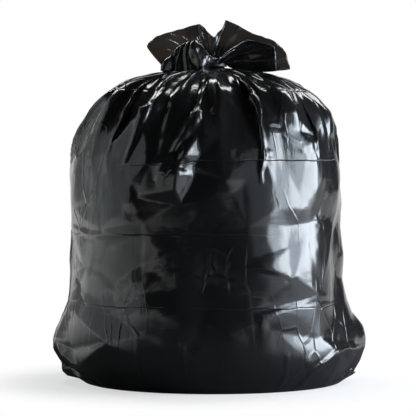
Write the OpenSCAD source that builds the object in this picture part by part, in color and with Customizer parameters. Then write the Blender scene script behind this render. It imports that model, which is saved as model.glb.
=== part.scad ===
/* [Body] */
// Width of the filled body across its middle
body_w = 444; // [380:2:500]
// Depth of the filled body, front to back
body_d = 416; // [360:2:480]
// Height at which the walls start to turn in to the shoulders
shoulder_h = 336; // [290:2:380]
// Fullness of the shoulders, 1 for a straight cone and 2 for an ellipse
shoulder_round = 2.25; // [1.6:0.05:2.8]
// How far the middle of the body leans to the left of its neck and base
lean = 12; // [0:1:20]

/* [Base] */
// Width of the patch that rests on the floor
foot_w = 404; // [340:2:420]
// Depth of the patch that rests on the floor
foot_d = 372; // [320:2:400]
// Height of the widest level, where the load sags outwards
belly_h = 72; // [50:1:100]
// How far the sag stands out beyond the walls
belly_out = 8; // [4:1:24]
// Height at which the sag has faded into the walls
sag_h = 190; // [160:2:300]
// Reach of each corner of the bottom seam beyond the sag
corner_out = 28; // [10:1:40]
// Width of each corner where it leaves the wall, front to back
corner_d = 200; // [120:5:260]
// Height of the lower end of each corner
corner_low = 10; // [8:1:30]
// Height at which each corner has faded into the wall
corner_h = 145; // [110:5:260]

/* [Neck and tie] */
// Height of the middle of the tie
neck_h = 520; // [480:1:560]
// Diameter of the gathered film inside the tie
neck_d = 40; // [30:1:60]
// Thickness of the tie's band
tie_t = 3.4; // [2:0.2:6]
// Times the tie goes round the neck
tie_turns = 2; // [1:1:4]
// Clearance between the tie and the film that it holds
tie_fit = 0.3; // [0.2:0.1:0.6]

/* [Gathers] */
// Sharp pleats that run down from the neck
pleats = 24; // [16:1:32]
// Depth of a pleat from its ridge to its valley
pleat_depth = 18; // [6:1:24]
// Longest reach of a pleat below the neck, measured down
pleat_reach = 250; // [120:5:300]

/* [Folds] */
// Flat facets round the back and sides of the body
facets_round = 14; // [10:1:20]
// Height of a facet
facet_h = 84; // [60:2:120]
// How far the corners of the facets stand in or out at most
facet_lift = 8; // [0:1:12]
// Depth of the crumples near the base
crumple_depth = 6; // [0:1:12]
// Width of a main fold of the front on each side of its ridge
fold_reach = 54; // [20:2:70]

/* [Frill] */
// Span of the frill's two wings, from tip to tip
frill_w = 240; // [180:5:280]
// Depth of the frill at its rim, front to back
frill_d = 58; // [40:2:76]
// Height of the tallest peak of the rim above the tie
frill_h = 70; // [50:1:100]
// How steeply the tallest strands leave the tie, 0 for straight to the rim
frill_spring = 0.8; // [0:0.1:1.4]
// Folds round the rim
flutes = 8; // [6:1:12]
// Depth of a fold at the rim, from ridge to valley
flute_depth = 9; // [4:1:14]
// Thickness of the frill's film
film_t = 2; // [1.6:0.1:3]

/* [Hidden] */

// Steps of the surface round each pleat, and from the base to the rim
pleat_steps = 4;
sectors = pleats * pleat_steps;
foot_rings = 6;
wall_rings = 16;
shoulder_rings = 17;
frill_rings = 9;

// The tie's turns lie on each other, fused a little so that they are one band
tie_pitch = tie_t * 0.92;
tie_h = tie_t + (tie_turns - 1) * tie_pitch;
// Bare height of the neck above and below the tie
neck_margin = 1.2;
groove_h = tie_h + 2 * neck_margin;
groove_z = neck_h - groove_h / 2;
frill_z = neck_h + groove_h / 2;
// Depth of the small flutes of film inside the tie
neck_flute = 1.6;

// The rim, as shares of half its width, half its depth and its height: from the
// right tip round the back to the left tip, and back along the lower front layer
rim_points = [
    [1.06, 0, -0.14], [1.0, 0.2, 0.24], [0.84, 0.55, 0.50], [0.55, 0.8, 0.7], [0.17, 0.95, 1.0],
    [0.02, 0.5, 0.6],
    [-0.19, 0.9, 0.92], [-0.5, 0.7, 0.76], [-0.77, 0.4, 0.58], [-0.9, 0, 0.38],
    [-0.68, -0.4, 0.02], [-0.62, -0.85, -0.1], [-0.62, -1.05, 0.36], [-0.17, -0.9, 0.40],
    [0.14, -0.85, 0.22], [0.5, -1.05, 0.44], [0.84, -0.75, 0.36], [0.9, -0.35, -0.06]
];

// The main folds of the front, set by hand: along each ridge or valley the degrees
// round the neck from the right, the height and how far the film stands out there
main_folds = [
    // The narrow fold left of the middle, and the long edge beyond it
    [[-97, 408, 1], [-102, 372, 10], [-105, 345, 13], [-106, 318, 11], [-104, 299, 0]],
    [[-130, 357, 2], [-123, 305, 4], [-117, 241, 4], [-110, 200, 3]],
    // The facets low on the left
    [[-171, 132, 4], [-161, 125, 3], [-138, 78, 5], [-117, 46, 3]],
    [[-167, 55, 4], [-160, 30, 5]],
    // The curved facet on the right, and the ones under it
    [[-46, 235, 3], [-56, 182, 10], [-67, 196, 9], [-61, 214, 5]],
    [[-56, 182, 8], [-44, 218, 4], [-26, 245, 2]],
    [[-73, 132, 1], [-69, 121, 6], [-58, 132, 6], [-39, 153, 5]],
    [[-40, 84, 3], [-28, 64, 7], [-45, 47, 6], [-57, 26, 3]],
    // The foot of the flat patch high on the right
    [[-60, 293, 3], [-47, 294, 6], [-34, 302, 5], [-34, 334, 2]],
    // The large gathers of the right shoulder
    [[-60, 496, 3], [-52, 487, 8], [-48, 436, 8], [-47, 414, 0]],
    [[-54, 501, 3], [-37, 468, 8], [-22, 446, 7], [-1, 418, 2]],
    // The large gathers of the left shoulder
    [[-131, 497, 3], [-129, 467, -6], [-133, 428, -8], [-138, 391, -4]],
    [[-120, 489, 5], [-119, 458, 7], [-131, 436, 5], [-136, 402, 2]],
    [[-148, 495, 5], [-149, 471, 7], [-151, 442, 6]]
];

// Numbers from rows of luck, the same on every build
pleat_luck = rands(0, 1, pleats, 11);
facet_luck = [for (k = [0:8]) rands(-1, 1, facets_round, 23 + k)];

function smooth(t) = let (c = max(0, min(1, t))) c * c * (3 - 2 * c);
function mix(a, b, t) = a + (b - a) * t;
function unit(v) = v / max(norm(v), 1e-9);
function zigzag(a) = asin(sin(a)) / 90;

// Direction of sector j, wandering a little so that the pleats differ in width
function heading(j) =
    let (a = 360 * j / sectors)
    a + 3.2 * sin(3 * a + 40) + 2.1 * sin(7 * a);

// 1 on a ridge line of the gathers, -1 in a valley and 0 between them
function ridge(j) = cos(360 * j / pleat_steps);
function pleat_of(j) = floor((j + sectors) / pleat_steps + 0.5) % pleats;

// Half a width or depth of the body at height z, for a wall half and a foot half
function girth(z, wall, foot) =
    let (belly = wall + belly_out)
    z < belly_h
        ? foot + (belly - foot) * sqrt(max(0, 1 - pow(1 - z / belly_h, 2)))
    : z < shoulder_h
        ? mix(belly, wall, smooth((z - belly_h) / (sag_h - belly_h)))
    : let (t = min(1, (z - shoulder_h) / (groove_z - shoulder_h)))
        neck_d / 2 + (wall - neck_d / 2)
            * pow(max(0, 1 - pow(t, shoulder_round)), 1 / shoulder_round);

// Share of a pleat's depth at height z: full near the neck and none past its reach
function gather(j, z) =
    let (reach = pleat_reach * (0.45 + 0.55 * pleat_luck[pleat_of(j)]))
    smooth(1 - (neck_h - z) / reach);

// Flat facets with sharp edges between them, over a net of corners that leans to one side
function facet_corner(i, k) =
    facet_lift * facet_luck[k % len(facet_luck)][(i + facets_round) % facets_round];
function facet(a, z) =
    let (
        v = z / facet_h,
        u = (a + 360) % 360 / 360 * facets_round + v / 2,
        i = floor(u),
        k = floor(v),
        f = u - i,
        g = v - k,
        low = facet_corner(i, k),
        high = facet_corner(i + 1, k + 1),
        left = facet_corner(i, k + 1),
        right = facet_corner(i + 1, k)
    )
    f + g < 1
        ? low + f * (right - low) + g * (left - low)
        : high + (1 - f) * (left - high) + (1 - g) * (right - high);

// Slanting crumples that spread up from the corners of the base
function crumple(a, z) =
    crumple_depth / 2 * zigzag(6 * a + z * 1.6) * zigzag(5 * a - z * 1.1 + 60)
        * smooth(z / 30) * smooth(1 - (z - belly_h) / 90);

// Stretch of a main fold from p to q: its sides fall off evenly
function fold_stretch(p, q, at) =
    let (
        scale = [PI / 180 * body_w / 2, 1],
        along = [for (k = [0:1]) (q[k] - p[k]) * scale[k]],
        from = [for (k = [0:1]) (at[k] - p[k]) * scale[k]],
        t = max(0, min(1, from * along / (along * along))),
        far = norm(from - t * along)
    )
    mix(p[2], q[2], t) * max(0, 1 - far / fold_reach);
function fold_lift(fold, at) =
    let (lifts = [for (i = [1:len(fold) - 1]) fold_stretch(fold[i - 1], fold[i], at)])
    max(0, max(lifts)) + min(0, min(lifts));

// The main folds together, at angle a and height z
function main_lift(a, z) =
    let (
        at = [a > 90 ? a - 360 : a, z],
        lifts = [for (fold = main_folds) fold_lift(fold, at)]
    )
    max(lifts) + min(lifts);

// Pointed corner where an end of the bottom seam sticks out
function corner(y, z) =
    corner_out * pow(max(0, 1 - abs(y) / (corner_d / 2)), 1.3)
        * (z < belly_h ? min(1, z / corner_low) : smooth(1 - (z - belly_h) / (corner_h - belly_h)));

function body_point(j, z) =
    let (
        a = heading(j),
        rx = girth(z, body_w / 2, foot_w / 2),
        ry = girth(z, body_d / 2, foot_d / 2),
        size = min(rx, ry),
        depth = min(pleat_depth / 2, size * 0.17) * gather(j, z),
        loose = smooth(z / 30) * smooth((groove_z - z) / 60),
        back = smooth(sin(a) * 2 + 0.5),
        folds = loose * (facet(a, z) * back + main_lift(a, z)),
        out = ridge(j) * depth + crumple(a, z) * back + folds,
        x = (rx + out) * cos(a),
        y = (ry + out) * sin(a),
        point_out = corner(y, z) * sign(cos(a))
    )
    [x + point_out - lean * sin(180 * z / neck_h), y, z];

// The film inside the tie, in small flutes that never stand proud of neck_d
function neck_point(j, z) =
    let (r = neck_d / 2 - neck_flute * (1 - ridge(j)) / 2)
    [r * cos(heading(j)), r * sin(heading(j)), z];

// Closed curve through the rim's own points at azimuth a, a little sharper at each point
function rim_curve(a) =
    let (
        n = len(rim_points),
        t = (a / 360 * n + n) % n,
        i = floor(t),
        f = t - i,
        p = [for (k = [-1:2]) rim_points[(i + k + n) % n]],
        curved = p[1] + 0.5 * f * (p[2] - p[0]
            + f * (2 * p[0] - 5 * p[1] + 4 * p[2] - p[3]
            + f * (3 * (p[1] - p[2]) + p[3] - p[0])))
    )
    mix(mix(p[1], p[2], f), curved, 0.4);

// Each strand of the frill springs up out of the tie and bends over to the rim
function frill_point(j, q) =
    let (
        a = heading(j),
        start = neck_point(j, frill_z),
        rim = rim_curve(a),
        end = [rim[0] * frill_w / 2, rim[1] * frill_d / 2, frill_z + rim[2] * frill_h],
        run = norm(end - start),
        spring = frill_spring * max(0, rim[2]),
        bend = start + 0.42 * run * unit(unit(end - start) + [0, 0, spring]),
        wave = zigzag(flutes * a + 29 + 46 * sin(3 * a)) * mix(0.4, 1, smooth(0.3 - sin(a))),
        outward = unit([0, sin(a), 0.3 + 0.6 * cos(a) * cos(a)])
    )
    (1 - q) * (1 - q) * start + 2 * q * (1 - q) * bend + q * q * end
        + outward * wave * flute_depth / 2 * pow(q, 1.2);

function frill_normal(j, q) =
    let (dq = 0.02)
    unit(cross(
        frill_point(j + 0.5, q) - frill_point(j - 0.5, q),
        frill_point(j, q + dq) - frill_point(j, q - dq)));

function frill_inside(j, q) = frill_point(j, q) - film_t * frill_normal(j, q);

// Heights of the rings, closer together where the surface turns quickly
foot_levels = [for (i = [0:foot_rings]) belly_h * (1 - cos(90 * i / foot_rings))];
wall_levels = [for (i = [1:wall_rings]) mix(belly_h, shoulder_h, i / wall_rings)];
shoulder_levels = [for (i = [1:shoulder_rings])
    mix(shoulder_h, groove_z, sin(90 * i / (shoulder_rings + 1)))];
neck_levels = [groove_z, frill_z];
frill_steps = [for (i = [1:frill_rings]) i / frill_rings];
// The hollow of the frill closes this share of the way out from the tie
throat_step = 0.16;

function ring(kind, at) = [for (j = [0:sectors - 1])
    kind == "body" ? body_point(j, at)
    : kind == "neck" ? neck_point(j, at)
    : kind == "frill" ? frill_point(j, at)
    : frill_inside(j, at)];

rings = concat(
    [for (z = concat(foot_levels, wall_levels, shoulder_levels)) ring("body", z)],
    [for (z = neck_levels) ring("neck", z)],
    [for (q = frill_steps) ring("frill", q)],
    [for (i = [frill_rings - 1:-1:1]) ring("inside", mix(throat_step, 1, i / (frill_rings - 1)))],
    [ring("inside", throat_step)]);

function middle(points) = [for (k = [0:2]) let (v = [for (p = points) p[k]]) (max(v) + min(v)) / 2];

all_points = [for (r = rings) each r];
// The origin lies on the floor, under the middle of the sack's own box
box_middle = middle(all_points);
to_origin = [-box_middle[0], -box_middle[1], 0];

module sack() {
    last = len(rings) - 1;
    points = concat(all_points, [middle(rings[0]), middle(rings[last])]);
    floor_centre = len(all_points);
    throat_centre = floor_centre + 1;
    skin = [for (i = [0:last - 1], j = [0:sectors - 1])
        let (
            k = (j + 1) % sectors,
            a = i * sectors + j,
            b = i * sectors + k,
            c = a + sectors,
            d = b + sectors
        )
        each (norm(points[a] - points[d]) < norm(points[b] - points[c])
            ? [[a, d, b], [a, c, d]]
            : [[a, c, b], [b, c, d]])];
    floor_fan = [for (j = [0:sectors - 1]) [j, (j + 1) % sectors, floor_centre]];
    throat_fan = [for (j = [0:sectors - 1])
        [last * sectors + (j + 1) % sectors, last * sectors + j, throat_centre]];
    color([0.03, 0.03, 0.035])
        translate(to_origin)
            polyhedron(points, concat(skin, floor_fan, throat_fan));
}

module neck_tie() {
    color([0.05, 0.05, 0.05])
        translate(to_origin + [0, 0, neck_h - (tie_h - tie_t) / 2])
            for (i = [0:tie_turns - 1])
                translate([0, 0, i * tie_pitch])
                    rotate_extrude($fn = 72)
                        translate([neck_d / 2 + tie_fit + tie_t / 2, 0])
                            circle(d = tie_t, $fn = 24);
}

sack();
neck_tie();
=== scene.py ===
"""A full bin bag of thin black film, its neck gathered and tied, standing on a pale floor."""
import math

import bpy
import numpy as np
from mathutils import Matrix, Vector
from mathutils.bvhtree import BVHTree
from mathutils.geometry import delaunay_2d_cdt


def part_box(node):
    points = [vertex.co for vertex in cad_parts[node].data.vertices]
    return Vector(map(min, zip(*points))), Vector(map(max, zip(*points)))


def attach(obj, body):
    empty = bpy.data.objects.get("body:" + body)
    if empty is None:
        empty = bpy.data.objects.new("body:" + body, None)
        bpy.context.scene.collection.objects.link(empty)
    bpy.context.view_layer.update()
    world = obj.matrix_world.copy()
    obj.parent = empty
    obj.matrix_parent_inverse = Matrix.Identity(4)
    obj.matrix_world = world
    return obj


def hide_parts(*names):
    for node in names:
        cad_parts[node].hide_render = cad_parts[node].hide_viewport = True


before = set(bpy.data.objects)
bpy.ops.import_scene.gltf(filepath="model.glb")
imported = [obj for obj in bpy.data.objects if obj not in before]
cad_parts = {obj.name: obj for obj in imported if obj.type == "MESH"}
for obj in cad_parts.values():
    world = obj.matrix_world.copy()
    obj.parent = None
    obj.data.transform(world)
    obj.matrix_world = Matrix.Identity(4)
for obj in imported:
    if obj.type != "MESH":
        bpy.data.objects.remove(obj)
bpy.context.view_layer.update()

mm = 0.001
rng = np.random.default_rng(21)

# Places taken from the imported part
tie_lo, tie_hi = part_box("neck_tie")
neck_x = (tie_lo.x + tie_hi.x) / 2
neck_y = (tie_lo.y + tie_hi.y) / 2
neck_margin = 1.2 * mm
groove_z = tie_lo.z - neck_margin
frill_z = tie_hi.z + neck_margin
neck_r = 20 * mm
mean_r = 210 * mm

# Heights at which the film changes, in metres: the wall turns into the shoulder, the gathers
# start, and the shoulder flattens towards the neck
shoulder_z = 0.36
gather_z = 0.38
crown_z = 0.42

# The film's grid: columns round the bag, rows from the floor to the rim
columns = 352
body_rows = 209
frill_rows = 37
lining_rows = 22

# How the film moves in each step of its simulation: how hard it answers a stretched and a
# slack length, how much speed it keeps, how it resists a bend, how the air inside swells it
# and how it sinks
taut_pull = 0.2
slack_pull = 0.12
speed_kept = 0.94
stiffness = 0.003
swell = 2.0e-6
sinking = 0.1e-6


def smooth(t):
    """0 below 0, 1 above 1 and smooth between them."""
    c = np.clip(t, 0, 1)
    return c * c * (3 - 2 * c)


def rising(t, start, span):
    """0 up to start, 1 from a span past it on, and smooth between them."""
    return smooth((t - start) / span)


def falling(t, end, span):
    """1 until a span before end, 0 from end on, and smooth between them."""
    return smooth((end - t) / span)


def mix(a, b, t):
    return a + (b - a) * t


def zigzag(t):
    """A wave with sharp ridges and valleys, from -1 to 1."""
    return np.arcsin(np.sin(t)) * 2 / np.pi


def norm(v):
    return np.sqrt((v * v).sum(axis=-1, keepdims=True))


def unit(v):
    return v / np.maximum(norm(v), 1e-9)


def ripples(angle, height, count, turns, per_metre):
    """A smooth random field round the bag, as waves that close on themselves."""
    field = 0
    for _ in range(count):
        n = rng.integers(turns[0], turns[1] + 1)
        k = rng.uniform(-per_metre, per_metre) * 2 * np.pi
        field = field + np.cos(n * angle + k * height + rng.uniform(0, 2 * np.pi))
    return field / math.sqrt(count / 2)


def surface_normals(film):
    side = np.roll(film, -1, axis=1) - np.roll(film, 1, axis=1)
    return unit(np.cross(side, np.gradient(film, axis=0)))


def turned(angle, middle):
    """How far angle is past middle, the short way round."""
    return (angle - middle + np.pi) % (2 * np.pi) - np.pi


def blurred(table, across, up):
    """A table averaged over so many columns and rows to each side, twice."""
    for _ in range(2):
        around = np.concatenate([table[:, -across:], table, table[:, :across]], axis=1)
        sums = np.cumsum(np.pad(around, ((0, 0), (1, 0))), axis=1)
        table = (sums[:, 2 * across + 1:] - sums[:, :-2 * across - 1]) / (2 * across + 1)
        tall = np.pad(table, ((up, up), (0, 0)), mode="edge")
        sums = np.cumsum(np.pad(tall, ((1, 0), (0, 0))), axis=0)
        table = (sums[2 * up + 1:] - sums[:-2 * up - 1]) / (2 * up + 1)
    return table


# What the film lies on


class Wall:
    """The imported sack's own surface, as distances from the axis of its neck."""

    def __init__(self, node, levels=260):
        mesh = node.data
        tree = BVHTree.FromPolygons([v.co for v in mesh.vertices], [p.vertices[:] for p in mesh.polygons])
        self.z = np.linspace(0.5 * mm, groove_z - 0.8 * mm, levels)
        self.angle = np.arange(columns) * 2 * np.pi / columns
        heads = [Vector((math.cos(a), math.sin(a), 0)) for a in self.angle]
        self.r = np.array([[tree.ray_cast(Vector((neck_x, neck_y, z)), head)[3] for head in heads]
                           for z in self.z])
        # The same without its folds and facets
        self.plain = blurred(self.r, 12, 9)

    def row(self, z):
        """Where height z is in the table, in rows."""
        return (z - self.z[0]) / (self.z[1] - self.z[0])

    def at(self, z):
        """The row of distances at height z."""
        t = np.clip(self.row(z), 0, len(self.z) - 1.001)
        i = int(t)
        return mix(self.r[i], self.r[i + 1], t - i)


class Contents:
    """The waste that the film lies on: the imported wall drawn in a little, with lumps."""

    lump_count = 40
    drawn_in = 3 * mm

    def __init__(self, wall):
        angle, z = np.meshgrid(wall.angle, wall.z)
        top = rising(z, shoulder_z, 0.1)
        r = mix(wall.plain, blurred(wall.r, 2, 2), top)
        ears = np.maximum(wall.r - r - self.drawn_in, 0) * falling(z, 0.2, 0.08)
        r = r + ears - self.drawn_in - self.drawn_in * top
        lumps = np.zeros_like(r)
        for _ in range(self.lump_count):
            middle = rng.uniform(0, 2 * np.pi)
            level = rng.uniform(0.03, 0.46)
            size = rng.uniform(34, 75) * mm
            lift = rng.uniform(3, 9) * mm
            squat = rng.uniform(0.6, 1.3)
            far = np.hypot(turned(angle, middle) * mean_r, (z - level) * squat) / size
            lumps = np.maximum(lumps, lift * np.exp(-far ** 2))
        self.r = (r + lumps * (1 - 0.8 * top)).astype(np.float32)
        self.z0 = wall.z[0]
        self.dz = wall.z[1] - wall.z[0]
        self.steep = np.gradient(self.r, self.dz, axis=0)

    def push_out(self, film):
        """Moves each point that is inside the waste to its surface."""
        x = film[..., 0] - neck_x
        y = film[..., 1] - neck_y
        r = np.hypot(x, y) + 1e-6
        row = np.clip((film[..., 2] - self.z0) / self.dz, 0, len(self.r) - 1.001)
        i = row.astype(np.int32)
        column = (np.arctan2(y, x) / (2 * np.pi) * columns) % columns
        j = column.astype(np.int32)
        up = row - i
        across = column - j
        j = j % columns
        k = (j + 1) % columns
        low = mix(self.r[i, j], self.r[i, k], across)
        high = mix(self.r[i + 1, j], self.r[i + 1, k], across)
        slope = self.steep[i, j]
        hidden = np.maximum(mix(low, high, up) - r, 0) / (1 + slope * slope)
        film[..., 0] += hidden * (x / r)
        film[..., 1] += hidden * (y / r)
        film[..., 2] -= hidden * slope
        # Nothing rises past a shallow cone up to the tie, or sinks into the floor
        cone = groove_z - 0.5 * mm - 0.1 * np.maximum(r - neck_r, 0)
        np.clip(film[..., 2], 0, cone, out=film[..., 2])


# Folds listed from the photo: degrees round from the right, height and lift in mm
FOLDS = [
    # Long crease across the front, and the one below it
    [(-166, 360, 0), (-151, 365, 1), (-141, 360, -1), (-130, 357, 2), (-117, 359, 6), (-103.5, 358, 13),
     (-98, 362, -6), (-92, 366, -3), (-80, 367, -2), (-73, 368, -2), (-66, 370, 1), (-61, 382, -3),
     (-53, 379, -3), (-44, 372, -1), (-33, 401, -1)],
    [(-92, 254, 0), (-76, 258, 0), (-61, 260, -1), (-54, 262, -1), (-42, 265, -2), (-34, 268, -1),
     (-16, 289, 0)],
    [(-80, 367, -1), (-85, 335, 1.5), (-92, 305, 0)],
    # Narrow bright fold left of the middle
    [(-97, 408, 1), (-102, 372, 12), (-104.5, 345, 17), (-105.5, 318, 14), (-104, 299, 0)],
    [(-97, 408, 1), (-95, 376, -6), (-98, 345, -9), (-101, 318, -7), (-104, 299, 0)],
    [(-97, 408, 1), (-118, 385, 2), (-127, 343, 1), (-122, 310, 1), (-104, 299, 0)],
    # Left side: the edge of the wide sheen, and the slanting folds under it
    [(-130, 357, 2), (-125, 336, 3), (-123, 305, 4), (-120, 270, 4), (-117, 241, 4), (-110, 200, 3),
     (-121, 185, -1), (-121, 159, 1), (-125, 152, 0)],
    [(-156, 204, 3), (-143, 192, 2), (-131, 153, 1)],
    [(-174, 196, 3), (-161, 163, -1), (-152, 129, 2)],
    [(-172, 232, -1), (-152, 196, 3), (-137, 165, 0)],
    [(-180, 214, 2), (-166, 183, 3), (-158, 150, -1)],
    [(-171, 132, 4), (-161, 125, 3), (-138, 78, 5), (-133, 53, 0)],
    [(-161, 125, 3), (-165, 59, -1)],
    [(-177, 66, 3), (-168, 50, 9), (-158, 30, 9), (-146, 6, 3)],
    [(-177, 66, 3), (-175, 32, -9), (-166, 18, -8), (-146, 6, 3)],
    [(-125, 152, 0), (-118, 142, 2), (-99, 138, 0), (-82, 131, -1)],
    [(-138, 78, 5), (-117, 46, 3), (-99, 14, 1)],
    [(-166, 424, 2), (-168, 378, 2), (-168, 336, 0), (-168, 286, 1)],
    [(-172, 262, 0), (-140, 255, 1), (-120, 246, 1)],
    # Right side: the bright curved facet and the grey ones under it
    [(-45, 252, 0), (-46, 235, 3), (-56, 182, 10)],
    [(-56, 182, 10), (-67, 196, 9), (-61, 214, 5), (-53, 235, 1), (-45, 252, 0)],
    [(-56, 182, 10), (-77, 200, 2), (-68, 222, 1), (-53, 235, 1)],
    [(-56, 182, 10), (-44, 218, 4), (-26, 245, 2)],
    [(-56, 182, 10), (-73, 132, 1), (-69, 121, 6), (-58, 132, 6), (-39, 153, 5)],
    [(-58, 139, 3), (-73, 132, 1)],
    [(-69, 121, 6), (-64, 100, 1), (-40, 84, 3), (-28, 64, 7)],
    [(-28, 64, 7), (-45, 47, 6), (-57, 26, 3)],
    [(-64, 100, 1), (-70, 68, 2), (-57, 26, 3)],
    [(-28, 64, 7), (-4, 59, 6)],
    [(-28, 64, 7), (-12, 30, -5), (-4, 59, 6)],
    [(-22, 237, -2), (-15, 212, -2), (-8, 161, 3), (-25, 144, -2), (-16, 128, 3), (-27, 109, -2),
     (-13, 105, 3), (-27, 77, -2)],
    # Round the bright patch on the right
    [(-61, 359, -2), (-62, 320, 0), (-60, 293, 1), (-60, 263, -1)],
    [(-32, 400, -2), (-34, 334, 2), (-34, 302, 1), (-34, 268, -1)],
    [(-60, 293, 1), (-47, 290, 2), (-34, 302, 1)],
    [(-80, 421, 1), (-78, 359, -1), (-76, 262, 0)],
    # Gathers of the right shoulder
    [(-75, 507, 3), (-52, 487, 8), (-48, 436, 8), (-47, 414, 0), (-41, 393, 1), (-33, 401, 0)],
    [(-54, 501, 3), (-37, 468, 8), (-22, 446, 7), (-1, 418, 2)],
    [(-48, 504, 2), (1, 490, 4), (1, 455, 3)],
    [(-70, 496, -3), (-60, 464, -3), (-57, 436, -1)],
    # Gathers of the left shoulder and the middle
    [(-129, 498, 3), (-128, 466, -6), (-133, 426, -8), (-140, 389, -4)],
    [(-119, 490, 5), (-119, 456, 7), (-131, 435, 5), (-136, 399, 2)],
    [(-146, 495, 5), (-148, 470, 7), (-151, 441, 6)],
    [(-117, 493, 3), (-119, 469, 7), (-124, 442, 8), (-119, 434, 0), (-116, 447, 0)],
    [(-111, 490, 3), (-111, 454, 3), (-115, 399, 2), (-116, 374, 0)],
    [(-104, 486, -3), (-103, 438, -3), (-104, 383, -1)],
    [(-100, 486, 4), (-99, 446, 3), (-99, 408, 2)],
    [(-97, 483, -2), (-94, 448, -2), (-90, 432, 1), (-87, 401, 0)],
    [(-90, 496, 5), (-88, 486, 5), (-82, 472, 0)],
    [(-84, 499, 5), (-80, 483, 6), (-79, 466, 0)],
    # Along the bottom edge
    [(-134, 38, 0), (-120, 8, 1), (-92, 7, 0), (-68, 14, 1), (-58, 13, 0), (-28, 11, 2)],
]
# Where folds cross and the film is pinched into a small star: degrees, height in mm
PINCHES = [(-151, 364), (-130, 357), (-104, 361), (-80, 367), (-66, 370), (-44, 374),
           (-56, 182), (-34, 268), (-110, 200), (-125, 152), (-138, 78), (-28, 64)]
# Levels at which the film was folded for its packing, in mm
PACKING_LEVELS = (478, 364, 250, 135)


def planes(angle, z, points, edges):
    """Height over the flat facets that join the points, each given as radians, height and lift."""
    corners, _, faces, source, _, _ = delaunay_2d_cdt(
        [Vector((a * mean_r, h)) for a, h, _ in points], edges, [], 0, 1e-6)
    lifts = [points[found[0]][2] if found else None for found in source]
    # A corner that two crossing folds made takes the mean lift of its neighbours
    for i, lift in enumerate(lifts):
        if lift is None:
            near = [lifts[k] for face in faces if i in face for k in face if lifts[k] is not None]
            lifts[i] = sum(near) / max(len(near), 1)
    tree = BVHTree.FromPolygons([Vector((c.x, c.y, lift)) for c, lift in zip(corners, lifts)], faces)
    down = Vector((0, 0, -1))
    places = zip((angle * mean_r).ravel(), z.ravel())
    found = [tree.ray_cast(Vector((across, up, 1)), down)[0] for across, up in places]
    return np.array([hit.z if hit else 0 for hit in found]).reshape(angle.shape)


def scattered(across, up, lift=0):
    """Points at random all round the bag, about so far apart."""
    turns = round(2 * np.pi * mean_r / across)
    for level in range(-1, math.ceil(0.6 / up) + 2):
        for turn in range(turns):
            a = (turn + 0.5 * (level % 2) + rng.uniform(-0.42, 0.42)) / turns
            yield a % 1 * 2 * np.pi, (level + rng.uniform(-0.42, 0.42)) * up, lift * rng.uniform(-1, 1)


def thrice(points):
    """The points once more to each side, so that facets run on over the seam."""
    return [(a + k * 2 * np.pi, h, lift) for k in (-1, 0, 1) for a, h, lift in points]


def facets(angle, z, across, up, lift):
    """Flat facets with sharp edges, at random, about so many mm across, high and proud."""
    return planes(angle, z, thrice(list(scattered(across * mm, up * mm, lift * mm))), [])


def big_folds(angle, z, wall):
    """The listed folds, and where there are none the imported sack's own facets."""
    points = []
    edges = []
    for fold in FOLDS:
        for i, (degrees, height, lift) in enumerate(fold):
            if i:
                edges.append((len(points) - 1, len(points)))
            points.append((math.radians(degrees), height * mm, lift * mm))
    taken = np.array(points)
    relief = wall.r - wall.plain
    for a, h, _ in scattered(42 * mm, 48 * mm):
        far = np.hypot(turned(taken[:, 0], a) * mean_r, taken[:, 1] - h)
        if far.min() > 40 * mm:
            row = int(np.clip(wall.row(h), 0, len(wall.z) - 1))
            points.append((a, h, relief[row, round(a / (2 * np.pi) * columns) % columns]))
    repeated = [(a + k * len(points), b + k * len(points)) for k in range(3) for a, b in edges]
    return planes(angle, z, thrice(points), repeated)


def kinks(angle, z):
    """Sharp level kinks where the film was folded for its packing, stronger here and weaker there."""
    height = np.zeros_like(z)
    strength = smooth(0.4 + 1.0 * ripples(angle, z, count=8, turns=(2, 7), per_metre=9))
    for k, level in enumerate(PACKING_LEVELS):
        line = level * mm + 5 * mm * np.sin(2 * angle + k) + 3 * mm * np.sin(7 * angle + 2 * k)
        height += (-1 if k % 2 else 1) * np.maximum(0, 1 - abs(z - line) / (4.5 * mm))
    return height * strength * 0.8 * mm


def stars(angle, z):
    """Small rays of wrinkles where the film is pinched."""
    height = np.zeros_like(z)
    spots = [(math.radians(d), h * mm) for d, h in PINCHES]
    spots += [(rng.uniform(0, np.pi), rng.uniform(0.06, 0.42)) for _ in range(14)]
    for a, h in spots:
        across = turned(angle, a) * mean_r
        up = z - h
        far = np.hypot(across, up)
        rays = zigzag(rng.integers(3, 6) * (np.arctan2(up, across) + rng.uniform(0, 6)) + 8 * far / 0.05)
        height += rays * 0.9 * mm * smooth(far / (5 * mm)) * smooth(1 - far / (rng.uniform(16, 30) * mm))
    return height


def pleats(angle, z, count=64):
    """Sharp pleats down from the neck, each with its own place, reach and slant."""
    height = np.zeros_like(z)
    down = (groove_z - z) / (groove_z - 0.2)
    for k in range(count):
        top = (k + rng.uniform(-0.4, 0.4)) / count * 2 * np.pi
        reach = rng.uniform(0.25, 0.95) ** 1.3
        width = rng.uniform(0.03, 0.075)
        slant = rng.uniform(-0.25, 0.25)
        lift = rng.uniform(1.2, 3.6) * mm * (1 if k % 2 else -1)
        far = abs(turned(angle, top + slant * down)) / width
        height += lift * np.maximum(0, 1 - far) * smooth(1 - down / reach)
    return height


# The body


def body_levels(wall):
    """How far out and how high each row of the body is laid, evenly along the film."""
    mean = wall.r.mean(axis=1)
    floor_start = 0.6
    r = np.concatenate([[floor_start * mean[0]], mean, [neck_r]])
    z = np.concatenate([[0], wall.z, [groove_z]])
    z[1] = 0
    along = np.concatenate([[0], np.cumsum(np.hypot(np.diff(r), np.diff(z)))])
    rows = np.linspace(0, along[-1], body_rows)
    return np.interp(rows, along, r), np.interp(rows, along, z), mean[0]


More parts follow.
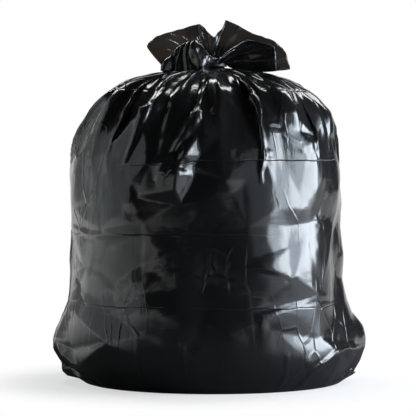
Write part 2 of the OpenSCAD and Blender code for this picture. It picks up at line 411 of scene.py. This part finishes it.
def lay_body(wall):
    """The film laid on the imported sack's surface, before it takes its own folds."""
    r, z, foot = body_levels(wall)
    head = np.stack([np.cos(wall.angle), np.sin(wall.angle)], axis=-1)
    film = np.zeros((body_rows, columns, 3))
    for i in range(body_rows):
        if i == body_rows - 1:
            reach = neck_ring(wall.angle)
        elif z[i] <= wall.z[0]:
            reach = wall.at(0) * min(r[i] / foot, 1)
        else:
            reach = wall.at(z[i])
        film[i, :, :2] = reach[:, None] * head
        film[i, :, 2] = z[i]
    return film + [neck_x, neck_y, 0]


def neck_ring(angle):
    """Distances of the film inside the tie, in 44 small folds and 19 wider ones."""
    small = 0.5 - 0.5 * np.cos(44 * angle)
    wide = 0.5 + 0.5 * np.cos(19 * angle + 1)
    return neck_r - 1.6 * mm * small - 0.8 * mm * wide


def film_girth(laid):
    """Rest length of each row: taut on the walls, and ever fuller towards the neck."""
    girth = norm(np.roll(laid, -1, axis=1) - laid)[..., 0].sum(axis=1)
    z = laid[:, 0, 2]
    mid_wall = 0.25
    cut = girth[np.argmin(abs(z - mid_wall))] * 1.01
    fullness = mix(1.01, 2.4, rising(z, shoulder_z, 0.15))
    return np.maximum(girth * 1.003, np.minimum(cut, girth * fullness))


def springs(laid, girth, length_gain):
    """The rest lengths along the rows, up the columns and both ways across."""
    n = laid.shape[1]
    round_step = norm(np.roll(laid, -1, axis=1) - laid)[..., 0]
    round_step = blurred(round_step, max(1, n // 88), 1) * (girth / round_step.sum(axis=1))[:, None]
    up = norm(laid[1:] - laid[:-1])[..., 0]
    z = laid[1:, :1, 2]
    up_step = blurred(up, max(2, n // 60), 2) * mix(length_gain, 1.003, rising(z, 0.12, 0.15))
    cross = np.hypot(up_step, (round_step[1:] + round_step[:-1]) / 2)
    return {(1, 0): round_step, (0, 1): up_step, (1, 1): cross, (-1, 1): cross}


def settle(film, rest, steps, home, held, contents, stray, stride):
    """Lets the film find its folds: it keeps its lengths, lies on what is inside and bends a little."""
    speed = np.zeros_like(film)
    for step in range(steps):
        move = np.zeros_like(film)
        for (du, dv), length in rest.items():
            low = film[:-1] if dv else film
            high = np.roll(film[1:] if dv else film, -du, axis=1)
            gap = high - low
            pull = 1 - length[..., None] / np.maximum(norm(gap), 1e-6)
            pull = np.where(pull > 0, taut_pull, slack_pull) * pull * gap
            if dv:
                move[:-1] += pull
                move[1:] -= np.roll(pull, du, axis=1)
            else:
                move += pull
                move -= np.roll(pull, du, axis=1)
        # Bending: a point that bends more than its neighbours is drawn back a little
        bend = (np.roll(film, 1, axis=1) + np.roll(film, -1, axis=1)) / 2 - film
        move += stiffness * (bend - (np.roll(bend, 1, axis=1) + np.roll(bend, -1, axis=1)) / 2)
        arch = np.zeros_like(film)
        arch[1:-1] = (film[2:] + film[:-2]) / 2 - film[1:-1]
        move[1:-1] += stiffness * (arch[1:-1] - (arch[2:] + arch[:-2]) / 2)
        move -= swell * stride * surface_normals(film)
        move[..., 2] -= sinking * stride
        speed = speed_kept * speed + move
        film = film + speed
        away = film - home
        film = home + away * np.minimum(1, stray / np.maximum(norm(away), 1e-9))
        if step % 2 == 0:
            contents.push_out(film)
        film[held] = home[held]
    return film


def finer(film, laid_coarse, laid_fine):
    """Carries the film's move away from where it was laid over to a grid twice as fine."""
    shift = film - laid_coarse
    wide = np.empty((shift.shape[0], shift.shape[1] * 2, 3), dtype=shift.dtype)
    wide[:, ::2] = shift
    wide[:, 1::2] = (shift + np.roll(shift, -1, axis=1)) * 0.5625 \
        - (np.roll(shift, 1, axis=1) + np.roll(shift, -2, axis=1)) * 0.0625
    tall = np.empty((wide.shape[0] * 2 - 1, wide.shape[1], 3), dtype=shift.dtype)
    tall[::2] = wide
    tall[1::2] = (wide[1:] + wide[:-1]) / 2
    return laid_fine + tall


def drawn_out(film, share, passes=60):
    """Smooths the film down its columns, so that the pleats near the neck run long and clean."""
    share = share[1:-1, :, None].astype(np.float32)
    for _ in range(passes):
        film[1:-1] += share * ((film[2:] + film[:-2]) / 4 - film[1:-1] / 2)
    return film


def first_folds(angle, z):
    """How far the film stands out when its simulation starts: ripples, and pleats near the neck."""
    free = rising(z, 0, 0.04) * falling(z, groove_z, 0.05)
    start = ripples(angle, z, count=14, turns=(5, 22), per_metre=9) * 2.0 * mm * free
    wide = zigzag(23 * angle + 0.6 * np.sin(3 * angle) + 3 * z) * 4 * mm
    narrow = zigzag(44 * angle + 1.1 * np.sin(2 * angle) - 5 * z) * 2 * mm
    return start + rising(z, 0.33, 0.12) * free * (wide + narrow), free


def settled_body(wall, angle):
    """The body's film, laid on the sack and settled on a coarse grid, then on finer ones."""
    laid = lay_body(wall).astype(np.float32)
    girth = film_girth(laid)
    contents = Contents(wall)
    z = laid[..., 2]
    start, free = first_folds(angle, z)
    out = laid - np.array([neck_x, neck_y, 0], dtype=np.float32)
    out[..., 2] = 0
    out = unit(out)
    # The film may move less near the tie and at the corners of the bottom seam
    farthest = 0.02
    near_tie = mix(farthest, 0.009, rising(z, 0.43, 0.08))
    corner = rising(abs(np.cos(angle)), 0.5, 0.45) * falling(z, 0.3, 0.2)
    stray = np.minimum(near_tie, mix(farthest, 0.003, corner))[..., None]
    film = None
    before = None
    # The steps on each grid, coarsest first; a stride of 4 takes every fourth row and column
    plan = {4: 300, 2: 300, 1: 200}
    for stride, steps in plan.items():
        here = laid[::stride, ::stride]
        if film is None:
            film = here + (out * start[..., None])[::stride, ::stride].astype(np.float32)
        else:
            film = finer(film, before, here)
        unrest = rng.normal(0, 0.25 * mm * stride, film.shape).astype(np.float32)
        film = film + unrest * free[::stride, ::stride, None]
        held = np.zeros(here.shape[:2], dtype=bool)
        held[-1] = True
        held[here[:, 0, 2] < 0.5 * mm] = True
        rest = springs(here, girth[::stride], length_gain=1.006)
        film = settle(film, rest, steps, here, held, contents, stray[::stride, ::stride], stride)
        before = here
    return drawn_out(film, rising(z, gather_z, 0.08)), z


def fold_body(wall):
    """The body's film with every fold and facet on it."""
    angle = np.broadcast_to(wall.angle, (body_rows, columns))
    film, z = settled_body(wall, angle)
    calm = rising(z, 0, 0.02) * falling(z, groove_z, 0.06)
    rough = 0.3 + 0.7 * smooth(0.5 + 0.9 * ripples(angle, z, count=9, turns=(1, 4), per_metre=4))
    rough = rough * (1 - 0.4 * rising(z, crown_z, 0.06))
    # Left of the narrow fold the film is drawn taut and nearly plain
    taut = smooth(1.3 - abs(turned(angle, math.radians(-113))) / 0.24) * smooth(1.4 - abs(z - 0.31) / 0.08)
    rough = rough * (1 - 0.8 * taut)
    gathers = facets(angle, z, 19, 75, 2.6) \
        + ripples(angle, z, count=8, turns=(4, 11), per_metre=7) * 3.5 * mm
    gathers = gathers * rising(z, gather_z, 0.06)
    height = big_folds(angle, z, wall) + kinks(angle, z) + stars(angle, z) + pleats(angle, z) + gathers \
        + rough * (facets(angle, z, 44, 85, 2.2) + facets(angle, z, 17, 28, 0.9))
    film = film + surface_normals(film) * (height * calm)[..., None].astype(np.float32)
    np.maximum(film[..., 2], 0, out=film[..., 2])
    return film


# The frill above the tie

# The rim, as shares of half its width, half its depth and its height, and how much the film
# springs up on its way there. It runs from the right tip round the back to the left tip, and
# back along the lower front layer. The crushed lobe at the front left rolls over and hangs down.
RIM = np.array([
    [1.06, 0, -0.14, -0.6], [1.0, 0.2, 0.24, 0.2], [0.84, 0.55, 0.50, 0.4], [0.55, 0.8, 0.7, 0.6],
    [0.17, 0.95, 1.0, 0.8], [0.02, 0.5, 0.6, 0.5],
    [-0.19, 0.9, 0.92, 0.8], [-0.5, 0.7, 0.76, 0.6], [-0.77, 0.4, 0.58, 0.5], [-0.9, 0, 0.38, 0.3],
    [-0.70, -0.5, -0.08, 0.9], [-0.64, -1.0, -0.26, 1.5], [-0.5, -1.25, -0.28, 1.9],
    [-0.14, -1.25, -0.3, 1.9], [0.1, -1.0, 0.05, 0.9],
    [0.5, -1.05, 0.44, 0.35], [0.84, -0.75, 0.34, 0.3], [0.88, -0.4, -0.2, -0.8]])
frill_half = np.array([120, 29, 70]) * mm


def rim_curve(angle):
    """A closed curve through the rim's points, between straight and smooth."""
    roundness = 0.4
    n = len(RIM)
    t = (angle / (2 * np.pi) * n) % n
    i = t.astype(int)
    f = (t - i)[:, None]
    p = [RIM[(i + k) % n] for k in (-1, 0, 1, 2)]
    curved = p[1] + 0.5 * f * (p[2] - p[0] + f * (2 * p[0] - 5 * p[1] + 4 * p[2] - p[3]
                               + f * (3 * (p[1] - p[2]) + p[3] - p[0])))
    return mix(mix(p[1], p[2], f), curved, roundness)


def lay_frill(angle):
    """Each strand springs up out of the tie and bends over to the rim."""
    neck = neck_ring(angle)
    start = np.stack([neck * np.cos(angle), neck * np.sin(angle), np.full_like(angle, frill_z)], axis=-1)
    rim = rim_curve(angle)
    spring = rim[:, 3:]
    end = rim[:, :3] * frill_half + [0, 0, frill_z]
    # A strand that springs up far also swings wide before it comes down
    reach = 0.42 * norm(end - start) + 55 * mm * np.maximum(0, spring - 0.8)
    bend = start + reach * unit(unit(end - start) + spring * np.array([0, 0, 1]))
    q = np.linspace(0, 1, frill_rows)[:, None, None]
    return (1 - q) ** 2 * start + 2 * q * (1 - q) * bend + q * q * end + [neck_x, neck_y, 0]


def crushed_lobe(angle):
    """1 where the film belongs to the lobe that rolls over the tie, 0 away from it."""
    return smooth(turned(angle, math.radians(190)) / 0.3) * smooth(turned(math.radians(285), angle) / 0.3)


def fold_frill(wall):
    """The frill's film with its folds and crumples."""
    laid = lay_frill(wall.angle).astype(np.float32)
    q = np.broadcast_to(np.linspace(0, 1, frill_rows)[:, None], laid.shape[:2])
    angle = np.broadcast_to(wall.angle, q.shape)
    front = smooth(0.3 - np.sin(angle))
    small_folds = zigzag(19 * angle + np.sin(2 * angle)) * mix(1.5, 3.0, front) * mm
    wide_folds = zigzag(8 * angle + 0.5 + 0.8 * np.sin(3 * angle)) * mix(2.0, 5.0, front) * mm
    sharp = small_folds * smooth(q / 0.2) * (1 - 0.7 * q) + wide_folds * smooth(q)
    tall = q * 0.09
    petals = facets(angle, tall, 110, 32, 4) * smooth(q / 0.4)
    crumpled = crushed_lobe(angle) + smooth(1 - abs(turned(angle, math.radians(120))) / 0.5)
    free = smooth(q / 0.25)
    crumples = facets(angle, tall, 32, 16, 2) * free \
        + facets(angle, tall, 70, 13, 6) * crumpled * free \
        + facets(angle, tall, 28, 7, 2.5) * crumpled * free
    return laid + surface_normals(laid) * (sharp + petals + crumples)[..., None].astype(np.float32)


def skin_mesh(name, rows, fan_start, fan_end):
    """A closed skin through rings of points, with a fan at each end."""
    grid = np.concatenate(rows)
    count, n = grid.shape[:2]
    points = np.concatenate([grid.reshape(-1, 3), [fan_start, fan_end]])
    first = count * n
    last = count * n + 1
    i, j = np.meshgrid(np.arange(count - 1), np.arange(n), indexing="ij")
    k = (j + 1) % n
    quads = np.stack([i * n + j, i * n + k, (i + 1) * n + k, (i + 1) * n + j], axis=-1).reshape(-1, 4)
    j = np.arange(n)
    k = (j + 1) % n
    low = np.stack([k, j, np.full(n, first)], axis=-1)
    high = np.stack([(count - 1) * n + j, (count - 1) * n + k, np.full(n, last)], axis=-1)
    corners = np.concatenate([quads.ravel(), low.ravel(), high.ravel()])
    sizes = np.concatenate([np.full(len(quads), 4), np.full(2 * n, 3)])
    mesh = bpy.data.meshes.new(name)
    mesh.vertices.add(len(points))
    mesh.vertices.foreach_set("co", points.astype(np.float32).ravel())
    mesh.loops.add(len(corners))
    mesh.loops.foreach_set("vertex_index", corners.astype(np.int32))
    mesh.polygons.add(len(sizes))
    mesh.polygons.foreach_set("loop_start", (np.cumsum(sizes) - sizes).astype(np.int32))
    mesh.polygons.foreach_set("loop_total", sizes.astype(np.int32))
    mesh.update(calc_edges=True)
    mesh.validate()
    mesh.polygons.foreach_set("use_smooth", np.ones(len(sizes), dtype=bool))
    return placed(name, mesh)


def placed(name, data):
    """A new object in the scene."""
    made = bpy.data.objects.new(name, data)
    bpy.context.scene.collection.objects.link(made)
    return made


# Materials


class Term:
    """The output of a shader node, on which Python's operators add Math nodes."""

    def __init__(self, nodes, socket):
        self.nodes = nodes
        self.socket = socket

    def math(self, operation, *others):
        sockets = dict(enumerate((self, *others)))
        return self.nodes.make("ShaderNodeMath", {"operation": operation}, sockets)[0]

    def __add__(self, other):
        return self.math("ADD", other)

    def __sub__(self, other):
        return self.math("SUBTRACT", other)

    def __rsub__(self, other):
        return self * -1 + other

    def __mul__(self, other):
        return self.math("MULTIPLY", other)

    def __truediv__(self, other):
        return self.math("DIVIDE", other)

    def __pow__(self, other):
        return self.math("POWER", other)

    __radd__ = __add__
    __rmul__ = __mul__

    def step(self, low, high):
        """0 below low, 1 above high and smooth between them."""
        return self.nodes.make("ShaderNodeMapRange", {"interpolation_type": "SMOOTHSTEP"},
                               {"Value": self, "From Min": low, "From Max": high})["Result"]

    def at_least(self, other):
        return self.math("MAXIMUM", other)


class Nodes:
    """The node tree of a material, the world or a Geometry Nodes group."""

    def __init__(self, tree):
        self.tree = tree

    def make(self, kind, settings=None, sockets=None):
        """Adds a node: first its settings, then the values or links of its sockets."""
        node = self.tree.nodes.new(kind)
        for name, value in (settings or {}).items():
            setattr(node, name, value)
        for name, value in (sockets or {}).items():
            self.feed(node.inputs[name], value)
        return Made(self, node)

    def feed(self, socket, value):
        if isinstance(value, Made):
            value = value[0]
        if isinstance(value, Term):
            self.tree.links.new(value.socket, socket)
        else:
            socket.default_value = value

    def had(self, name):
        """A node that the tree came with."""
        return Made(self, self.tree.nodes[name])


class Made:
    """A node, from which outputs are read as terms and whose inputs can be set."""

    def __init__(self, nodes, node):
        self.nodes = nodes
        self.node = node

    def __getitem__(self, name):
        return Term(self.nodes, self.node.outputs[name])

    def __setitem__(self, name, value):
        self.nodes.feed(self.node.inputs[name], value)


def new_material(name):
    material = bpy.data.materials.new(name)
    material.use_nodes = True
    return material, Nodes(material.node_tree)


def stretched(nodes, place, scale):
    """A place stretched by a scale for each axis."""
    return nodes.make("ShaderNodeVectorMath", {"operation": "MULTIPLY"}, {0: place, 1: scale})[0]


def noise(nodes, place, scale, detail=2.0, rough=0.5):
    sockets = {"Vector": place, "Scale": scale, "Detail": detail, "Roughness": rough}
    return nodes.make("ShaderNodeTexNoise", {}, sockets)["Fac"]


def tint(nodes, share, low, high):
    """A colour between two, by a share from 0 to 1."""
    return nodes.make("ShaderNodeMix", {"data_type": "RGBA"}, {0: share, 6: (*low, 1), 7: (*high, 1)})[2]


def bumpy(nodes, height):
    """The normal of a surface with this height, in metres, on it."""
    return nodes.make("ShaderNodeBump", {}, {"Height": height, "Distance": 1.0, "Strength": 1.0})[0]


def blended_shader(nodes, share, low, high):
    """A surface or background between two, by a share from 0 to 1."""
    return nodes.make("ShaderNodeMixShader", {}, {0: share, 1: low, 2: high})


def cell_edges(nodes, place):
    """1 on the straight edges between tall, narrow cells, 0 a short way off them."""
    wander = nodes.make("ShaderNodeTexNoise", {}, {"Vector": place, "Scale": 14})["Color"]
    bent = nodes.make("ShaderNodeVectorMath", {"operation": "MULTIPLY_ADD"},
                      {0: wander, 1: (0.016, 0.016, 0.016), 2: place})[0]
    cells = nodes.make("ShaderNodeTexVoronoi", {"feature": "DISTANCE_TO_EDGE"},
                       {"Vector": stretched(nodes, bent, (1, 1, 0.4)), "Scale": 26})["Distance"]
    return (1 - cells / 0.045).at_least(0)


def packing_lines(nodes, place):
    """1 on hairlines at the levels where the film was folded for its packing, here and there."""
    spacing = 0.114
    half_width = 0.0014
    z = nodes.make("ShaderNodeSeparateXYZ", {}, {0: place})["Z"]
    level_z = z - 0.151 + 0.03 * noise(nodes, place, 5, 3, 0.65)
    hairline = (1 - level_z.math("PINGPONG", spacing / 2) / half_width).at_least(0)
    return hairline * noise(nodes, place, 6, 1).step(0.40, 0.56)


def film_material():
    """Black glossy film with fine wrinkles; a single layer of it lets a little light through."""
    material, nodes = new_material("black film")
    shader = nodes.had("Principled BSDF")
    place = nodes.make("ShaderNodeTexCoord")["Object"]
    cloud = noise(nodes, place, 9)
    upright = noise(nodes, stretched(nodes, place, (1, 1, 0.16)), 95, 3, 0.55)
    level = noise(nodes, stretched(nodes, place, (0.25, 0.25, 1)), 130, 2, 0.5)
    creases = cell_edges(nodes, place) * noise(nodes, place, 8, 1).step(0.45, 0.7)
    height = upright * 0.0006 * cloud.step(0.38, 0.62) + level * 0.0002 * (1 - cloud).step(0.40, 0.64) \
        + creases * 0.0005 - packing_lines(nodes, place) * 0.0004
    shader["Normal"] = bumpy(nodes, height)
    shader["Roughness"] = 0.13 + 0.08 * noise(nodes, place, 31, 3)
    shader["Base Color"] = tint(nodes, cloud, (0.006, 0.006, 0.007), (0.010, 0.0095, 0.009))
    shader["IOR"] = 1.5
    single = nodes.make("ShaderNodeAttribute", {"attribute_name": "single_layer"})["Fac"]
    through = nodes.make("ShaderNodeBsdfTransparent", {}, {"Color": (1.0, 0.92, 0.82, 1)})[0]
    surface = blended_shader(nodes, single * (0.05 + 0.16 * cloud), shader[0], through)
    nodes.had("Material Output")["Surface"] = surface
    return material


def band_material():
    """Satin black rubber with a fine grain."""
    material, nodes = new_material("black band")
    shader = nodes.had("Principled BSDF")
    place = nodes.make("ShaderNodeTexCoord")["Object"]
    grain = noise(nodes, place, 900, 3)
    shader["Base Color"] = tint(nodes, grain, (0.008, 0.008, 0.008), (0.016, 0.015, 0.014))
    shader["Roughness"] = 0.3 + 0.15 * grain
    shader["Normal"] = bumpy(nodes, grain * 0.00012)
    return material


# The tie


def band_nodes():
    """Geometry Nodes tree of the tie: a thin band wound round the neck, a little unevenly."""
    group = bpy.data.node_groups.new("wound tie", "GeometryNodeTree")
    inputs = {"Centre": "Vector", "Turns": "Float", "Radius": "Float", "Rise": "Float", "Thickness": "Float",
              "Slack": "Float", "Seed": "Float", "Material": "Material"}
    for name, kind in inputs.items():
        group.interface.new_socket(name, in_out="INPUT", socket_type="NodeSocket" + kind)
    group.interface.new_socket("Band", in_out="OUTPUT", socket_type="NodeSocketGeometry")
    nodes = Nodes(group)
    given = nodes.make("NodeGroupInput")
    coil = nodes.make("GeometryNodeCurveSpiral", {}, {
        "Resolution": 96, "Rotations": given["Turns"], "Start Radius": given["Radius"],
        "End Radius": given["Radius"], "Height": given["Rise"]})["Curve"]
    place = nodes.make("GeometryNodeInputPosition")["Position"]
    wander = nodes.make("ShaderNodeTexNoise", {"noise_dimensions": "4D"}, {
        "Vector": place, "W": given["Seed"], "Scale": 60.0, "Detail": 1.0})["Color"]
    slack = nodes.make("ShaderNodeCombineXYZ", {}, {"X": 0.0, "Y": 0.0, "Z": given["Slack"]})[0]
    offset = nodes.make("ShaderNodeVectorMath", {"operation": "MULTIPLY_ADD"},
                        {0: wander, 1: slack, 2: given["Centre"]})[0]
    wound = nodes.make("GeometryNodeSetPosition", {}, {"Geometry": coil, "Offset": offset})["Geometry"]
    section = nodes.make("GeometryNodeCurvePrimitiveCircle", {}, {
        "Resolution": 16, "Radius": given["Thickness"] / 2})["Curve"]
    band = nodes.make("GeometryNodeCurveToMesh", {}, {
        "Curve": wound, "Profile Curve": section, "Fill Caps": True})["Mesh"]
    soft = nodes.make("GeometryNodeSetShadeSmooth", {}, {"Geometry": band})["Geometry"]
    real = nodes.make("GeometryNodeRealizeInstances", {}, {"Geometry": soft})["Geometry"]
    done = nodes.make("GeometryNodeSetMaterial", {}, {
        "Geometry": real, "Material": given["Material"]})["Geometry"]
    nodes.make("NodeGroupOutput", {}, {"Band": done})
    return group


def wound_tie():
    """The tie as a plain mesh, two turns and a bit, its ends closed with caps."""
    group = band_nodes()
    blank = placed("tie blank", bpy.data.meshes.new("tie blank"))
    winding = blank.modifiers.new("wound tie", "NODES")
    winding.node_group = group
    thick = 3.3 * mm
    sizes = {
        "Centre": (neck_x, neck_y, tie_lo.z + thick / 2),
        "Turns": 2.15,
        "Radius": (tie_hi.x - tie_lo.x - thick) / 2,
        "Rise": tie_hi.z - tie_lo.z - thick - 0.3 * mm,
        "Thickness": thick,
        "Slack": 0.5 * mm,
        "Seed": 4.0,
        "Material": band_material(),
    }
    for socket in group.interface.items_tree:
        if socket.in_out == "INPUT":
            winding[socket.identifier] = sizes[socket.name]
    solid = blank.evaluated_get(bpy.context.evaluated_depsgraph_get())
    tie = placed("neck_band", bpy.data.meshes.new_from_object(solid))
    blank.modifiers.remove(winding)
    bpy.data.objects.remove(blank)
    return tie


# The bag

wall = Wall(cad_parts["sack"])
body = fold_body(wall)
frill = fold_frill(wall)
film_t = 0.7 * mm
# The lining runs from the rim down to this row of the frill, and the skin closes there
closed_rows = 6
lining_steps = np.linspace(frill_rows - 1, closed_rows, lining_rows).round().astype(int)
lining = (frill - film_t * surface_normals(frill))[lining_steps]
sack = skin_mesh("sack_film", [body, frill, lining], body[0].mean(axis=0), lining[-1].mean(axis=0))
# How far the film is a single layer that light comes through: only the frill, away from the
# tie and from the crushed lobe
up_frill = np.arange(frill_rows) / (frill_rows - 1)
frill_single = rising(up_frill, 0.25, 0.35)[:, None] * (1 - 0.9 * crushed_lobe(wall.angle))
film_single = np.concatenate([np.zeros(body.shape[:2]), frill_single, frill_single[lining_steps]])
single = sack.data.attributes.new("single_layer", "FLOAT", "POINT")
single.data.foreach_set("value", np.append(film_single, [0, 0]).astype(np.float32))
sack.data.materials.append(film_material())
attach(sack, "root")
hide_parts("sack")

tie = wound_tie()
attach(tie, "root")
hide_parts("neck_tie")


# Studio


def panel(name, azimuth, elevation, distance, size, radiance, colour=(1, 1, 1)):
    """A soft box or reflector of a studio, aimed at the bag; azimuth 0 is behind the camera."""
    aim = Vector((0, 0, 0.3))
    a = math.radians(azimuth)
    e = math.radians(elevation)
    place = aim + distance * Vector((math.sin(a) * math.cos(e), -math.cos(a) * math.cos(e), math.sin(e)))
    data = bpy.data.lights.new(name, "AREA")
    data.shape = "RECTANGLE"
    data.size, data.size_y = size
    data.energy = radiance * math.pi * size[0] * size[1]
    data.color = colour
    lamp = placed(name, data)
    lamp.location = place
    lamp.rotation_euler = (aim - place).to_track_quat("-Z", "Y").to_euler()


def floor_material():
    """Pale floor that keeps the bag's shadow and fades to pure white away from it. In the bag's reflections
    it is painted shade in front and glows white at the sides, a painted reflection.
    """
    material, nodes = new_material("pale floor")
    shader = nodes.had("Principled BSDF")
    shader["Roughness"] = 0.8
    shader["Specular IOR Level"] = 0.1
    place = nodes.make("ShaderNodeTexCoord")["Object"]
    far = nodes.make("ShaderNodeVectorMath", {"operation": "LENGTH"}, {0: place})["Value"]
    aside = nodes.make("ShaderNodeSeparateXYZ", {}, {0: place})["X"].math("ABSOLUTE")
    path = nodes.make("ShaderNodeLightPath")
    # Painted shade: to reflected rays the floor in front of the bag is painted nearly black
    dark = path["Is Glossy Ray"] * (1 - aside.step(0.35, 0.65))
    shader["Base Color"] = tint(nodes, dark, (0.86, 0.86, 0.86), (0.12, 0.12, 0.12))
    pale = 0.6 + 0.4 * far.step(0.24, 0.42)
    # To camera rays the floor glows pale as a backdrop; to reflected rays its far sides glow white, a
    # painted reflection on the bag's lower sides
    seen = (path["Is Camera Ray"] * pale).at_least(path["Is Glossy Ray"] * aside.step(0.55, 1.1) * 0.9)
    backdrop_and_painted_glow = nodes.make("ShaderNodeEmission")[0]
    nodes.had("Material Output")["Surface"] = blended_shader(nodes, seen, shader[0], backdrop_and_painted_glow)
    return material


def backdrop():
    """A square of floor, far wider than the view."""
    half = 6.0
    corners = [(-half, -half, 0), (half, -half, 0), (half, half, 0), (-half, half, 0)]
    mesh = bpy.data.meshes.new("floor")
    mesh.from_pydata(corners, [], [(0, 1, 2, 3)])
    mesh.materials.append(floor_material())
    floor = placed("floor", mesh)


def studio_world():
    """White behind the bag; dim all round for what lights it, and dark on the camera's side."""
    world = bpy.data.worlds.new("studio")
    world.use_nodes = True
    nodes = Nodes(world.node_tree)
    place = nodes.make("ShaderNodeTexCoord")["Generated"]
    dim = nodes.had("Background")
    dim["Color"] = (1, 1, 1, 1)
    dim["Strength"] = 0.005 + 0.16 * noise(nodes, place, 1.6, 1) ** 3
    white = nodes.make("ShaderNodeBackground", {}, {"Color": (1, 1, 1, 1), "Strength": 1.0})[0]
    path = nodes.make("ShaderNodeLightPath")
    back = nodes.make("ShaderNodeSeparateXYZ", {}, {0: place})["Y"].step(0.8, 0.95)
    seen = path["Is Camera Ray"].at_least(path["Is Transmission Ray"]).at_least(path["Is Glossy Ray"] * back)
    nodes.had("World Output")["Surface"] = blended_shader(nodes, seen, dim[0], white)
    bpy.context.scene.world = world


backdrop()
studio_world()
panel("right soft box", 82, 9, 1.6, (0.9, 0.75), 14, (0.86, 0.93, 1.0))
panel("right diffuser", 78, 10, 1.7, (1.25, 1.2), 4, (0.7, 0.84, 1.0))
panel("right strip", 59, 9, 1.65, (0.28, 0.9), 7, (0.8, 0.9, 1.0))
panel("right reflector", 39, 6, 1.8, (0.8, 1.3), 0.6, (0.74, 0.9, 1.0))
panel("left panel", -89, 14, 1.6, (1.8, 1.8), 0.75, (0.88, 0.98, 1.0))
panel("far left panel", -128, 14, 1.6, (1.0, 1.8), 0.35)
panel("upper right strip", 125, 54, 1.6, (0.35, 1.0), 10, (0.96, 0.98, 1.0))
panel("upper left strip", -140, 54, 1.6, (0.3, 0.9), 9)

camera_data = bpy.data.cameras.new("camera")
camera_data.lens = 200
camera_data.sensor_width = 36
camera = placed("camera", camera_data)
bpy.context.scene.camera = camera
centre = Vector((0, 0, 0.2855))
distance = 3.80
rise = math.radians(2)
camera.location = centre + Vector((0, -distance * math.cos(rise), distance * math.sin(rise)))
camera.rotation_euler = (centre - camera.location).to_track_quat("-Z", "Y").to_euler()

bpy.context.scene.view_settings.view_transform = "Standard"
